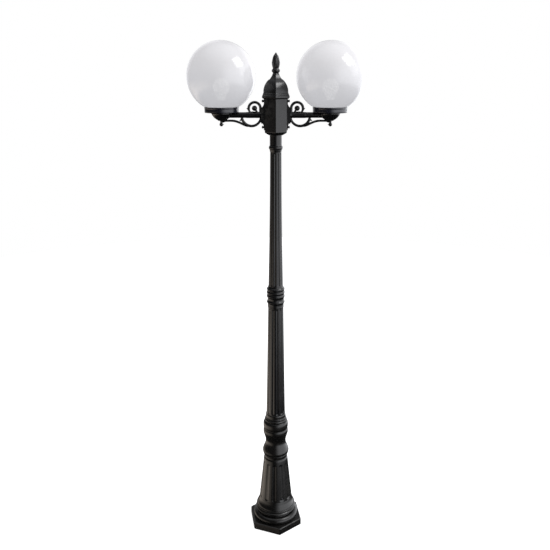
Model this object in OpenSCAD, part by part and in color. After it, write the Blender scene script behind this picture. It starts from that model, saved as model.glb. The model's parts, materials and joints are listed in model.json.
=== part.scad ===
// Two-globe street lamp post, in millimetres.
// X runs along the two arms, Z is up, and the origin is the middle of the foot's underside.

/* [Foot] */
// Width of the hexagonal foot plate across its corners
foot_across = 233; // [225:1:245]
// Thickness of the plate's edge
foot_edge = 30; // [26:1:32]
// Turn of the hexagon about the post, in degrees
foot_turn = 8.7; // [0:0.1:30]
// Diameter of the circle that the anchor holes lie on
anchor_pcd = 94; // [90:1:98]
// Diameter of each anchor hole
anchor_hole = 11; // [9:0.5:13]
// Diameter of the cable entry
cable_entry = 21; // [16:1:22]

/* [Post] */
// Height of the fluted bell
bell_h = 256; // [250:1:262]
// Height of the baluster coupler on the bell
coupler_h = 198; // [194:1:206]
// Height of the lower shaft
lower_shaft_h = 465; // [400:5:500]
// Height of the beaded coupling in the middle
mid_coupling_h = 89; // [86:1:95]
// Height of the upper shaft
upper_shaft_h = 516; // [450:2:550]
// Height of the neck under the head box
neck_h = 62; // [58:1:66]
// Diameter of the lower shaft at its foot
lower_d1 = 76.4; // [75:0.2:77]
// Diameter of the lower shaft at its top
lower_d2 = 60; // [59:0.5:61]
// Diameter of the upper shaft at its foot
upper_d1 = 56.4; // [55:0.2:57]
// Diameter of the upper shaft at its top
upper_d2 = 41.6; // [41:0.2:43]
// Number of flutes around each shaft and around the bell
flutes = 12; // [8:1:14]
// Turn of the lower shaft's flutes about the post, in degrees
lower_turn = 26; // [0:1:30]
// Turn of the upper shaft's flutes about the post, in degrees
upper_turn = 9; // [0:1:30]

/* [Head] */
// Width of the hexagonal box across its flats
box_flats = 80; // [79:0.5:82]
// Height of the box with its sloped floor
box_h = 128; // [126:1:132]
// Wall of the box
box_wall = 3.5; // [3:0.25:4]
// Height of the ogee cap
cap_h = 86; // [84:1:92]
// Height of the bud finial above the cap
finial_h = 71; // [68:1:76]

/* [Arms] */
// Distance from the post's middle to the middle of a globe
arm_reach = 195; // [192:1:205]
// Diameter of the arm tube
arm_d = 17.6; // [17:0.2:19]
// Height of the arm tube's middle above the box's underside
arm_rise = 70.5; // [69:0.5:72]
// Thickness of the scrolls
scroll_d = 7.6; // [6:0.2:8]

/* [Lamps] */
// Diameter of a globe
globe_d = 245; // [240:1:254]
// Wall of a globe
globe_wall = 2.5; // [2:0.25:3]
// Diameter of the collar that holds a globe
collar_d = 124; // [122:1:126]
// Height of the collar
collar_h = 20; // [18:0.5:22]
// Diameter of a bulb
bulb_d = 60; // [55:1:66]

/* [Hidden] */
$fn = 72;

// Colours
iron = "#1b1b1d";
coat = "#26262a";
moulding = "#202228";
steel = "silver";
brass = "goldenrod";

// Heights of the joints between the stacked sections
bell_z = 66;
coupler_z = bell_z + bell_h;
lower_z = coupler_z + coupler_h;
mid_z = lower_z + lower_shaft_h;
upper_z = mid_z + mid_coupling_h;
neck_z = upper_z + upper_shaft_h;
box_z = neck_z + neck_h;
cap_z = box_z + box_h;
finial_z = cap_z + cap_h;

// Foot: a cup with a central boss and three ears that the bell is screwed to
floor_t = 12;
cavity_r = 64;
torus_mid_r = 79;
torus_t = 15;
neck_r = 74;
spigot_r = 69.5;
spigot_h = 10;
ear_angles = [for (i = [0:2]) foot_turn - 75 + 120 * i];
ear_r = 56.5;
ear_t = 6.5;
ear_w = 16;
ear_top = 152;
boss_r = 24;
boss_top = 60;
bell_screw_z = 140;
bell_seat_r = 63;

// Shafts
shaft_wall = 4.5;
flute_margin = 26;
shaft_groove_r = 4;
shaft_groove_depth = 1.5;

// Tie tube that holds the stack together
tube_r = 13.45;
tube_bore = 10.85;
tube_hole = 13.6;
tube_top = box_z + 38;

// Head
box_r = box_flats / 2;
box_inner = box_r - box_wall;
box_floor = box_z + 10;
flange_t = 3;
face_x = box_r + flange_t;
low_screw_z = box_z + 27.5;
high_screw_z = box_z + 119.5;
washer_t = 3;
nut_h = 15;
strap_z = box_z + 98;
strap_t = 3;
strap_ear = 26;
lip_h = 2.5;
rod_r = 4;
rod_hole = 4.1;
bolt_hole = 3.2;
earth_at = [-23, -19];

// Terminal block with its bracket behind it
block_w = 38;
block_d = 14;
block_h = 22;
block_y = 12;
block_z = box_z + 50;
pole_pitch = 13;
pole_z = block_z + block_h / 2;

// Arm
arm_r = arm_d / 2;
arm_z = box_z + arm_rise;
boss_x = 52;
wire_hole = 4.5;
cup_r = 38;
cup_foot = -20.5;
cup_top = arm_z + 9;
socket_r = 15.4;
socket_floor = cup_top - 13;
cup_screw_r = 28;
drop_x = arm_reach + 3;

// Lamp
collar_r = collar_d / 2;
collar_floor = cup_top + 3;
collar_top = cup_top + collar_h;
seal_t = 3;
seat_gap = 0.02;
neck_outer = 51.5;
neck_inner = 48.5;
globe_r = globe_d / 2;
shoulder_r = 64.6;
globe_drop = sqrt(pow(globe_r, 2) - pow(shoulder_r, 2));
globe_z = collar_top + 0.5 + globe_drop;
set_angles = [-24, 84, 204];
lug_z = 10.5;
set_screw_z = cup_top + lug_z;
holder_r = 19.5;
holder_top = collar_floor + 39;
contact_z = holder_top - 27;
cap_bore = 13.5;
bulb_r = bulb_d / 2;
bulb_z = holder_top + 46;
bulb_wall = 1.2;

// ---------- helpers ----------

// A solid of revolution from an outline of [radius, height] points
module turned(points) {
    rotate_extrude() polygon(points);
}

// A rounded ring of section radius t, on the circle of radius r at height z
module bead(r, z, t) {
    rotate_extrude() translate([r, z]) circle(r = t, $fn = 24);
}

// A hexagonal turning whose flats face the arms; the outline gives half widths across flats
module hexagonal(points) {
    rotate(30) rotate_extrude($fn = 6) polygon([for (p = points) [p[0] / cos(30), p[1]]]);
}

// Straight round-ended grooves in a cone from [r1, z1] to [r2, z2], turned about the post
module flute_cutters(r1, z1, r2, z2, groove_r, depth, turn) {
    slope = atan2(r1 - r2, z2 - z1);
    run = norm([r1 - r2, z2 - z1]);
    for (i = [0:flutes - 1])
        rotate(turn + 360 * (i + 0.5) / flutes)
            translate([r1 + groove_r - depth, 0, z1])
                rotate([0, -slope, 0]) {
                    cylinder(r = groove_r, h = run, $fn = 24);
                    sphere(r = groove_r * 1.02, $fn = 24);
                    translate([0, 0, run]) sphere(r = groove_r * 1.02, $fn = 24);
                }
}

// A fluted hollow taper that stands on height z
module fluted_shaft(r1, r2, z, h, turn) {
    fall = (r1 - r2) / h;
    difference() {
        turned([
            [r1 - shaft_wall, z], [r1, z], [r2, z + h], [r2 - shaft_wall, z + h],
        ]);
        flute_cutters(
            r1 - fall * flute_margin, z + flute_margin,
            r2 + fall * flute_margin, z + h - flute_margin,
            shaft_groove_r, shaft_groove_depth, turn);
    }
}

// A round rod from one point to another
module rod(from, to, r) {
    d = to - from;
    translate(from)
        rotate([0, acos(d[2] / norm(d)), atan2(d[1], d[0])])
            cylinder(r = r, h = norm(d), $fn = 24);
}

// A round bar bent along an arc in the XZ plane, from angle a0 through sweep degrees
module bent_bar(x, z, bend_r, bar_r, a0, sweep) {
    translate([x, 0, z])
        rotate([90, 0, 0])
            rotate(a0)
                rotate_extrude(angle = sweep)
                    translate([bend_r, 0]) circle(r = bar_r, $fn = 24);
}

// A ring of radius outer with a hole of radius inner, from height z up
module ring(outer, inner, z, h) {
    translate([0, 0, z]) difference() {
        cylinder(r = outer, h = h);
        translate([0, 0, -1]) cylinder(r = inner, h = h + 2);
    }
}

// A hexagonal nut, measured across its flats
module nut(flats, bore, h) {
    difference() {
        cylinder(d = flats / cos(30), h = h, $fn = 6);
        translate([0, 0, -1]) cylinder(r = bore, h = h + 2, $fn = 36);
    }
}

// The left-hand parts are the mirror image of the right-hand ones
module left() {
    mirror([1, 0, 0]) children();
}

// ---------- foot and post ----------

module ears() {
    for (a = ear_angles)
        rotate(a) translate([ear_r - ear_t, -ear_w / 2, floor_t - 1])
            cube([ear_t, ear_w, ear_top - floor_t + 1]);
}

module foot_plate() {
    color(iron) difference() {
        union() {
            difference() {
                union() {
                    rotate(foot_turn - 90) cylinder(d = foot_across, h = foot_edge, $fn = 6);
                    bead(torus_mid_r, foot_edge + torus_t - 1, torus_t);
                    cylinder(r = neck_r, h = bell_z);
                    cylinder(r = spigot_r, h = bell_z + spigot_h);
                }
                translate([0, 0, floor_t]) cylinder(r = cavity_r, h = ear_top);
            }
            cylinder(r = boss_r, h = boss_top);
            ears();
        }
        translate([0, 0, -1]) cylinder(d = cable_entry, h = ear_top);
        translate([0, 0, floor_t]) cylinder(r = tube_hole, h = ear_top);
        for (a = ear_angles) {
            rotate(a + 60) translate([anchor_pcd / 2, 0, -1])
                cylinder(d = anchor_hole, h = floor_t + 2);
            rotate(a) translate([ear_r - ear_t - 1, 0, bell_screw_z])
                rotate([0, 90, 0]) cylinder(r = 2.5, h = ear_t + 2, $fn = 24);
        }
    }
}

module tie_tube() {
    color(steel) ring(tube_r, tube_bore, floor_t, tube_top - floor_t);
}

module bell_base() {
    color(iron) difference() {
        union() {
            translate([0, 0, bell_z]) turned([
                [70, 0], [79, 0], [79, 25], [78.5, 31], [73.5, 39], [69.5, 50], [67.5, 62],
                [50.5, 236], [49, 244], [47.5, 248], [47, bell_h],
                [42, bell_h], [42, 240], [61, 60], [70, 32],
            ]);
            bead(78.5, bell_z + 7, 5.5);
            bead(76.5, bell_z + 20, 5);
        }
        flute_cutters(67.1, bell_z + 66, 51.3, bell_z + 228, 6.5, 3.2, foot_turn);
        for (a = ear_angles)
            rotate(a) translate([bell_seat_r, 0, bell_screw_z]) rotate([0, 90, 0]) {
                translate([0, 0, -5]) cylinder(r = 2.7, h = 10, $fn = 24);
                cylinder(r = 5, h = 10, $fn = 24);
            }
    }
}

module bell_screws() {
    color(coat)
        for (a = ear_angles)
            rotate(a) translate([bell_seat_r, 0, bell_screw_z]) rotate([0, 90, 0]) {
                translate([0, 0, -15]) cylinder(r = 2.45, h = 15, $fn = 24);
                cylinder(r = 4.6, h = 4.2, $fn = 24);
            }
}

module base_coupler() {
    color(iron) translate([0, 0, coupler_z]) turned([
        [34, 0], [47, 0], [47.4, 6], [50.6, 12], [51.2, 17], [53.6, 20], [54.2, 27],
        [52.5, 37], [46.2, 51], [42.4, 61], [41.8, 69], [42.8, 80], [46.8, 92], [49.6, 105],
        [50.6, 116], [50.6, 124], [49, 129], [49, 133], [50.6, 138], [50.8, 150], [49.4, 160],
        [45.2, 167], [44.6, 172], [41.4, 178], [40.8, 190], [38.4, coupler_h],
        [34, coupler_h],
    ]);
}

module lower_shaft() {
    color(coat) fluted_shaft(lower_d1 / 2, lower_d2 / 2, lower_z, lower_shaft_h, lower_turn);
}

module mid_coupling() {
    mid_r = 32;
    color(coat) union() {
        translate([0, 0, mid_z]) turned([
            [20, 0], [30.4, 0], [31.2, 6], [31.2, 14], [mid_r, 20], [mid_r, 79],
            [upper_d1 / 2 + 0.6, mid_coupling_h], [20, mid_coupling_h],
        ]);
        for (h = [23, 48, 62.5, 77])
            bead(mid_r - 1, mid_z + h, 4.3);
    }
}

module upper_shaft() {
    color(coat) fluted_shaft(upper_d1 / 2, upper_d2 / 2, upper_z, upper_shaft_h, upper_turn);
}

module neck_collar() {
    neck_r2 = 22.3;
    color(coat) translate([0, 0, neck_z]) turned([
        [14, 0], [21.2, 0], [22.2, 5], [22.2, 10], [25.4, 13], [25.4, 20], [neck_r2, 24],
        [neck_r2, neck_h], [14, neck_h],
    ]);
}

// ---------- head ----------

module head_box() {
    color(coat) difference() {
        translate([0, 0, box_z]) hexagonal([
            [0, 0], [26, 0], [box_r - 1, 9.5], [box_r, 12], [box_r, box_h],
            [box_inner, box_h], [box_inner, 13], [33.5, 10], [0, 10],
        ]);
        translate([0, 0, box_z - 1]) cylinder(r = tube_hole, h = 20);
        translate([earth_at[0], earth_at[1], box_z - 1]) cylinder(r = 3.1, h = 20, $fn = 36);
        for (side = [-1, 1]) {
            for (z = [low_screw_z, high_screw_z])
                rod([side * (box_inner - 2), 0, z], [side * (box_r + 2), 0, z], bolt_hole);
            rod([side * (box_inner - 2), 0, arm_z], [side * (box_r + 2), 0, arm_z], wire_hole);
        }
    }
}

module tie_washer() {
    color(steel) ring(22, tube_hole, box_floor, washer_t);
}

module tie_nut() {
    color(steel) translate([0, 0, box_floor + washer_t]) nut(36, 13.5, nut_h);
}

module terminal_bracket() {
    color(steel) union() {
        translate([-block_w / 2, block_y + block_d, box_floor])
            cube([block_w, 1.5, block_z + block_h - box_floor]);
        translate([-block_w / 2, block_y + block_d - 3.5, box_floor]) cube([block_w, 4, 1.5]);
    }
}

module terminal_block() {
    color("ivory") difference() {
        translate([-block_w / 2, block_y, block_z]) cube([block_w, block_d, block_h]);
        for (x = [-pole_pitch, 0, pole_pitch])
            rod([x, block_y - 2, pole_z], [x, block_y + 8, pole_z], 3);
    }
}

module terminal_screws() {
    color(brass)
        for (x = [-pole_pitch, 0, pole_pitch])
            for (y = [3.5, 10.5])
                translate([x, block_y + y, block_z + block_h]) cylinder(r = 2.2, h = 1.5, $fn = 24);
}

module earth_stud() {
    color(brass) translate([earth_at[0], earth_at[1], box_floor]) {
        translate([0, 0, -6]) cylinder(r = 3, h = 20, $fn = 24);
        nut(9, 3.05, 4);
    }
}

module cross_strap() {
    end_x = box_inner - 0.1;
    color(steel) difference() {
        union() {
            translate([-end_x, -9, strap_z]) cube([2 * end_x, 18, strap_t]);
            for (side = [0, 1])
                mirror([side, 0, 0])
                    translate([end_x - strap_t, -9, strap_z]) cube([strap_t, 18, strap_ear]);
        }
        translate([0, 0, strap_z - 1]) cylinder(r = rod_hole, h = strap_t + 2, $fn = 36);
        rod([-end_x - 1, 0, high_screw_z], [end_x + 1, 0, high_screw_z], bolt_hole);
    }
}

module cap_rod() {
    color(steel) translate([0, 0, strap_z - 9])
        cylinder(r = rod_r, h = finial_z + 16 - strap_z + 9, $fn = 36);
}

module rod_nuts() {
    color(steel) {
        translate([0, 0, strap_z - 6.5]) nut(13, rod_r + 0.02, 6.5);
        translate([0, 0, strap_z + strap_t]) nut(13, rod_r + 0.02, 6.5);
    }
}

module cap() {
    color(coat) difference() {
        translate([0, 0, cap_z]) hexagonal([
            [box_inner - 0.3, 0], [44.5, 0], [49, 2], [49, 11], [47, 12.5], [46.4, 17],
            [44.6, 19], [44, 29], [42.6, 37], [39.6, 46], [35.6, 53], [30.4, 60], [25, 65.5],
            [23.6, 67.5], [20, 71], [15.4, 77], [12, 82], [11, cap_h],
            [0, cap_h], [0, cap_h - 6], [8, cap_h - 7], [18, 65], [26, 57], [33, 46],
            [36, 36], [37, 24], [33, 20], [33, -lip_h], [box_inner - 0.3, -lip_h],
        ]);
        translate([0, 0, cap_z]) cylinder(r = rod_hole, h = cap_h + 1, $fn = 36);
    }
}

module finial() {
    color(coat) difference() {
        translate([0, 0, finial_z]) turned([
            [0, 0], [10.2, 0], [11, 3], [13.8, 5.5], [14.8, 9], [13.8, 13], [12, 16],
            [12.3, 20], [13.8, 28], [14.6, 38], [13, 48], [9.4, 58], [5, 65],
            [1, finial_h], [0, finial_h],
        ]);
        translate([0, 0, finial_z - 1]) cylinder(r = rod_r + 0.02, h = 18, $fn = 36);
    }
}

// ---------- arms ----------

module right_arm() {
    pad_x = face_x + 5;
    color(coat) difference() {
        union() {
            translate([box_r, -19, box_z + 18]) cube([flange_t, 38, 109]);
            translate([face_x - 1, -14, arm_z - 33]) cube([pad_x - face_x + 1, 28, 71]);
            translate([face_x - 1, -11, arm_z - 24]) cube([boss_x - face_x + 1, 22, 55]);
            rod([face_x, 0, arm_z], [arm_reach - 30, 0, arm_z], arm_r);
            rod([boss_x - 1, 0, arm_z], [boss_x + 54, 0, arm_z], arm_r + 0.8);
            translate([arm_reach, 0, arm_z]) turned([
                [0, cup_foot], [13.5, cup_foot], [17, -18], [25, -12], [31, -5.5], [35, 1],
                [37, 5], [cup_r, cup_top - arm_z], [0, cup_top - arm_z],
            ]);
        }
        rod([box_r - 1, 0, arm_z], [arm_reach, 0, arm_z], wire_hole);
        translate([arm_reach, 0, socket_floor]) cylinder(r = socket_r, h = 20);
        for (z = [low_screw_z, high_screw_z])
            rod([box_r - 1, 0, z], [face_x + 6, 0, z], bolt_hole);
        for (side = [-1, 1])
            translate([arm_reach, side * cup_screw_r, cup_top - 9]) cylinder(r = 1.95, h = 10, $fn = 24);
    }
}

module right_upper_scroll() {
    bar_r = scroll_d / 2;
    x = 76.5;
    z = arm_z + 23.5;
    bend_r = 21.2;
    foot_z = arm_z + arm_r - 0.3;
    ball_x = x + 0.5;
    color(coat) union() {
        bent_bar(x, z, bend_r, bar_r, -38, 218);
        rod([x - bend_r, 0, z + 1], [x - bend_r, 0, foot_z], bar_r + 0.3);
        translate([ball_x, 0, z + 0.5]) sphere(r = 8, $fn = 36);
        rod([ball_x - 4, 0, z], [ball_x - 4.5, 0, foot_z], bar_r - 0.5);
        rod([x + bend_r - 1, 0, z - 1], [x + bend_r + 6, 0, z], 2.2);
        translate([x - bend_r, -3, foot_z]) cube([2 * bend_r - 2, 6, 2.2]);
    }
}

module right_lower_scroll() {
    bar_r = scroll_d / 2;
    thin_r = bar_r - 0.6;
    x = 88;
    z = arm_z - 4;
    bend_r = 35.5;
    low_z = z - bend_r;
    rod_z = arm_z - 20.5;
    sweep = 28.8;
    long_r = (rod_z - low_z) / 2 / (1 - cos(sweep));
    start_x = x + 6;
    mid_x = start_x + long_r * sin(sweep);
    end_x = start_x + 2 * long_r * sin(sweep);
    color(coat) union() {
        bent_bar(x, z, bend_r, bar_r, 186, 168);
        bent_bar(start_x, low_z + long_r, long_r, thin_r, 270, sweep);
        translate([mid_x, 0, (low_z + rod_z) / 2]) sphere(r = thin_r + 0.25, $fn = 24);
        bent_bar(end_x, rod_z - long_r, long_r, thin_r, 90, sweep);
        translate([end_x, 0, rod_z]) sphere(r = thin_r + 0.25, $fn = 24);
        rod([end_x, 0, rod_z], [drop_x + 2, 0, rod_z], thin_r);
        rod([drop_x, 0, rod_z + 0.5], [drop_x, 0, rod_z - 13], bar_r - 0.4);
        translate([drop_x, 0, rod_z - 13]) sphere(r = 5.8, $fn = 36);
        rod([x + bend_r - 1, 0, arm_z - 16], [x + bend_r + 6, 0, arm_z - 20], 2.2);
    }
}

module right_bracket_screws() {
    tip_x = box_inner - strap_t - 8;
    color(moulding)
        for (z = [low_screw_z, high_screw_z]) {
            inner_x = box_inner - (z == high_screw_z ? strap_t + 0.1 : 0);
            translate([tip_x, 0, z]) rotate([0, 90, 0]) turned([
                [0, 0], [3, 0], [3, face_x - tip_x], [5.2, face_x - tip_x],
                [5.2, face_x - tip_x + 4], [4.2, face_x - tip_x + 6.6],
                [2.2, face_x - tip_x + 8], [0, face_x - tip_x + 8],
            ]);
            translate([inner_x, 0, z]) rotate([0, -90, 0]) rotate(30) nut(10, 3.05, 5);
        }
}

// ---------- lamps ----------

module right_collar() {
    color(moulding) difference() {
        translate([arm_reach, 0, cup_top]) union() {
            turned([
                [socket_r, 0], [collar_r - 3, 0], [collar_r - 0.9, 0.9], [collar_r, 3],
                [collar_r, collar_h - 4], [collar_r + 0.6, collar_h - 3], [collar_r + 0.6, collar_h],
                [collar_r - 2, collar_h], [collar_r - 3.5, collar_h - 3], [collar_r - 3.5, 3],
                [socket_r, 3],
            ]);
            for (a = set_angles)
                rotate(a) rod([52.5, 0, lug_z], [collar_r - 2, 0, lug_z], 4.5);
        }
        for (a = set_angles)
            translate([arm_reach, 0, set_screw_z])
                rotate(a) rod([51, 0, 0], [collar_r + 2, 0, 0], 2.55);
        for (side = [-1, 1])
            translate([arm_reach, side * cup_screw_r, cup_top - 1]) cylinder(r = 2.2, h = 6, $fn = 24);
    }
}

module right_set_screws() {
    color(steel) translate([arm_reach, 0, set_screw_z])
        for (a = set_angles)
            rotate(a) difference() {
                rod([neck_outer + 0.3, 0, 0], [collar_r - 0.6, 0, 0], 2.5);
                rod([collar_r - 3, 0, 0], [collar_r, 0, 0], 1.2);
            }
}

module right_cup_screws() {
    color(steel)
        for (side = [-1, 1])
            translate([arm_reach, side * cup_screw_r, 0]) {
                translate([0, 0, cup_top - 8]) cylinder(r = 1.9, h = 12, $fn = 24);
                translate([0, 0, collar_floor]) cylinder(r = 3.6, h = 2.4, $fn = 24);
            }
}

module right_globe_seal() {
    color("dimgray") translate([arm_reach, 0, 0]) ring(neck_outer + 1, neck_inner - 1, collar_floor, seal_t);
}

module right_globe() {
    shoulder_z = -globe_drop;
    neck_foot = collar_floor + seal_t + seat_gap - globe_z;
    color("white", 0.8) translate([arm_reach, 0, globe_z]) rotate_extrude() {
        difference() {
            circle(r = globe_r, $fn = 144);
            circle(r = globe_r - globe_wall, $fn = 144);
            translate([-globe_d, -globe_d]) square([globe_d, 2 * globe_d]);
            translate([-1, -globe_d]) square([globe_d, globe_d + shoulder_z]);
        }
        translate([neck_inner, shoulder_z])
            square([shoulder_r - neck_inner - 0.5, globe_wall]);
        translate([neck_inner, neck_foot])
            square([neck_outer - neck_inner, shoulder_z - neck_foot + 1]);
    }
}

module right_lamp_holder() {
    base = socket_floor - collar_floor;
    top = holder_top - collar_floor;
    color("white") translate([arm_reach, 0, 0]) difference() {
        translate([0, 0, collar_floor]) turned([
            [10, base], [15, base], [15, 0], [holder_r, 0], [holder_r, top - 8],
            [holder_r - 1.5, top], [cap_bore, top], [cap_bore, top - 27], [2, top - 27],
            [2, top - 31], [10, top - 31],
        ]);
        rod([-16, 0, arm_z], [-9, 0, arm_z], 3);
    }
}

module right_holder_contact() {
    color(brass) translate([arm_reach, 0, contact_z]) cylinder(r = 5, h = 2, $fn = 36);
}

module right_bulb_cap() {
    color(steel) translate([arm_reach, 0, contact_z]) union() {
        translate([0, 0, 2.3]) cylinder(r = 4.5, h = 3, $fn = 36);
        translate([0, 0, 4.3]) cylinder(r1 = 8, r2 = 13.2, h = 3, $fn = 36);
        translate([0, 0, 7.3]) cylinder(r = 13.2, h = 22);
    }
}

module right_bulb() {
    neck_z2 = contact_z + 29.3;
    shoulder = bulb_z - 10;
    color("white", 0.7) translate([arm_reach, 0, 0]) difference() {
        union() {
            translate([0, 0, bulb_z]) sphere(r = bulb_r);
            translate([0, 0, neck_z2]) cylinder(r1 = 13, r2 = bulb_r - 1.7, h = shoulder - neck_z2);
        }
        translate([0, 0, bulb_z]) sphere(r = bulb_r - bulb_wall);
        translate([0, 0, neck_z2 + 2])
            cylinder(r1 = 13 - bulb_wall, r2 = bulb_r - 1.8 - bulb_wall, h = shoulder - neck_z2 - 2);
    }
}

module right_lead() {
    tail_x = 24;
    color("firebrick") union() {
        rod([pole_pitch, block_y, pole_z], [tail_x, 0, arm_z], 2.4);
        translate([tail_x, 0, arm_z]) sphere(r = 2.5, $fn = 24);
        rod([tail_x, 0, arm_z], [arm_reach, 0, arm_z], 2.4);
        translate([arm_reach, 0, arm_z]) sphere(r = 2.5, $fn = 24);
        rod([arm_reach, 0, arm_z], [arm_reach, 0, holder_top - 31], 2.4);
    }
}

foot_plate();
tie_tube();
bell_base();
bell_screws();
base_coupler();
lower_shaft();
mid_coupling();
upper_shaft();
neck_collar();
head_box();
tie_washer();
tie_nut();
terminal_bracket();
terminal_block();
terminal_screws();
earth_stud();
cross_strap();
cap_rod();
rod_nuts();
cap();
finial();

left() right_arm();  // arm_left
left() right_upper_scroll();  // upper_scroll_left
left() right_lower_scroll();  // lower_scroll_left
left() right_bracket_screws();  // bracket_screws_left
left() right_collar();  // collar_left
left() right_set_screws();  // set_screws_left
left() right_cup_screws();  // cup_screws_left
left() right_globe_seal();  // globe_seal_left
left() right_globe();  // globe_left
left() right_lamp_holder();  // lamp_holder_left
left() right_holder_contact();  // holder_contact_left
left() right_bulb_cap();  // bulb_cap_left
left() right_bulb();  // bulb_left
left() right_lead();  // lead_left

right_arm();  // arm_right
right_upper_scroll();  // upper_scroll_right
right_lower_scroll();  // lower_scroll_right
right_bracket_screws();  // bracket_screws_right
right_collar();  // collar_right
right_set_screws();  // set_screws_right
right_cup_screws();  // cup_screws_right
right_globe_seal();  // globe_seal_right
right_globe();  // globe_right
right_lamp_holder();  // lamp_holder_right
right_holder_contact();  // holder_contact_right
right_bulb_cap();  // bulb_cap_right
right_bulb();  // bulb_right
right_lead();  // lead_right
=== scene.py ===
import json
import math

import bmesh
import bpy
from mathutils import Matrix, Vector


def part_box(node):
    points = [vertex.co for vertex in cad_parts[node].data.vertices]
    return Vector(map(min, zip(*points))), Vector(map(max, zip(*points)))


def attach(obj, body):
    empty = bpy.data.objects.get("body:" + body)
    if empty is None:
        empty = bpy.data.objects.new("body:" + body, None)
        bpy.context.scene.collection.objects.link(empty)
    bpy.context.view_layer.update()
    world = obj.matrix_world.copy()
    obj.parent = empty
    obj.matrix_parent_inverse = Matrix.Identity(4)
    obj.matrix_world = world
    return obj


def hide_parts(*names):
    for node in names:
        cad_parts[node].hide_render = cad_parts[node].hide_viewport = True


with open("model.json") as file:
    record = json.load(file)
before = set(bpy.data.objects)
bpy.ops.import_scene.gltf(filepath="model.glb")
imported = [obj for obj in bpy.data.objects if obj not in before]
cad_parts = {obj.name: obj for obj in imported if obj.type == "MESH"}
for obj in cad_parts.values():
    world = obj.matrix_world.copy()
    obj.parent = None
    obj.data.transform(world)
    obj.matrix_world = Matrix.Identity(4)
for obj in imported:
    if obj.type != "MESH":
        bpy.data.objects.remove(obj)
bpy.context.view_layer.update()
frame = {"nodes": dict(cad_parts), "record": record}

# Lengths are in millimetres until a mesh is made, which is in metres like the frame.
MM = 0.001
SIDES = 144
FLUTES = 12
MIRROR = {"left": -1, "right": 1}


def low_z(node):
    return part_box(node)[0].z / MM


def high_z(node):
    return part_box(node)[1].z / MM


# Heights above the foot of the head box: the arms' plates, their bars and their screws
PLATE_FOOT, PLATE_TOP = 18, 127
ARM_RISE = 70.5
BRACKET_ROWS = (27.5, 119.5)

# Heights of the stacked sections, the arms' middle and the globes' middle
BELL_Z = low_z("bell_base")
COUPLER_Z = low_z("base_coupler")
LOWER_Z = low_z("lower_shaft")
MID_Z = low_z("mid_coupling")
UPPER_Z = low_z("upper_shaft")
NECK_Z = low_z("neck_collar")
BOX_Z = low_z("head_box")
CAP_Z = high_z("head_box")
FINIAL_Z = low_z("finial")
FINIAL_TOP = high_z("finial")
ARM_Z = high_z("arm_right") - (PLATE_TOP - ARM_RISE)
CUP_TOP = low_z("collar_right")
GLOBE_TOP = high_z("globe_right")
ARM_X = (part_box("globe_right")[0].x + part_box("globe_right")[1].x) / 2 / MM
GLOBE_R = (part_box("globe_right")[1].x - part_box("globe_right")[0].x) / 2 / MM
GLOBE_Z = GLOBE_TOP - GLOBE_R
COLLAR_H = high_z("collar_right") - CUP_TOP
BOX_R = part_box("head_box")[1].x / MM
FOOT_TURN = math.radians(8.7)
FOOT_CORNERS = 233
BELL_SCREW_Z = 140
BRACKET_FACE = BOX_R + 3
BOX_APOTHEM, BOX_WALL, BOX_TALL = 40, 3.5, 128

# Directions of the bell's screws, in radians, and of a right collar's set screws, in degrees
BELL_SCREWS = [FOOT_TURN + math.radians(120 * k - 75) for k in range(3)]
SET_SCREWS = (-24, 84, 204)


# ---------- outlines ----------

def curve(points, steps):
    """Points on a smooth curve through the given ones. A point given twice running is a corner."""
    runs = [[points[0]]]
    for point in points[1:]:
        if point == runs[-1][-1]:
            runs.append([point])
        else:
            runs[-1].append(point)
    out = [points[0]]
    for run in runs:
        if len(run) == 2:
            out.append(run[1])
            continue
        for i in range(len(run) - 1):
            p1, p2 = run[i], run[i + 1]
            p0 = run[i - 1] if i else p1
            p3 = run[i + 2] if i + 2 < len(run) else p2
            for k in range(1, steps + 1):
                t = k / steps
                out.append(tuple(
                    0.5 * (2 * b + (c - a) * t + (2 * a - 5 * b + 4 * c - d) * t * t
                           + (3 * b - a - 3 * c + d) * t ** 3)
                    for a, b, c, d in zip(p0, p1, p2, p3)))
    return out


def arc(r, z, radius, start, end, steps):
    """Points on an arc about [r, z], with its angles in degrees from the outward direction."""
    out = []
    for k in range(steps + 1):
        a = math.radians(start + (end - start) * k / steps)
        out.append((r + radius * math.cos(a), z + radius * math.sin(a)))
    return out


def raised(points, height):
    return [(r, z + height) for r, z in points]


# ---------- meshes ----------

def bridge(bm, lower, upper):
    if len(lower) == 1 and len(upper) == 1:
        return
    count = max(len(lower), len(upper))
    for i in range(count):
        j = (i + 1) % count
        if len(lower) == 1:
            bm.faces.new((lower[0], upper[j], upper[i]))
        elif len(upper) == 1:
            bm.faces.new((lower[i], lower[j], upper[0]))
        else:
            bm.faces.new((lower[i], lower[j], upper[j], upper[i]))


def loft(bm, rings, closed=True):
    """Joins rings of points, each as long as the others or a single point, into one skin."""
    made = [[bm.verts.new(point) for point in ring] for ring in rings]
    if closed:
        made.append(made[0])
    for lower, upper in zip(made, made[1:]):
        bridge(bm, lower, upper)


def lathe(bm, outline, sides=SIDES, closed=True, shape=None, turn=0.0, at=(0, 0)):
    """Turns an outline of (radius, height) about a vertical axis; shape may change each radius."""
    rings = []
    for r, z in outline:
        if r < 1e-4:
            rings.append([(at[0], at[1], z)])
            continue
        ring = []
        for i in range(sides):
            a = turn + 2 * math.pi * i / sides
            k = shape(a, r, z) if shape else r
            ring.append((at[0] + k * math.cos(a), at[1] + k * math.sin(a), z))
        rings.append(ring)
    loft(bm, rings, closed)


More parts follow.
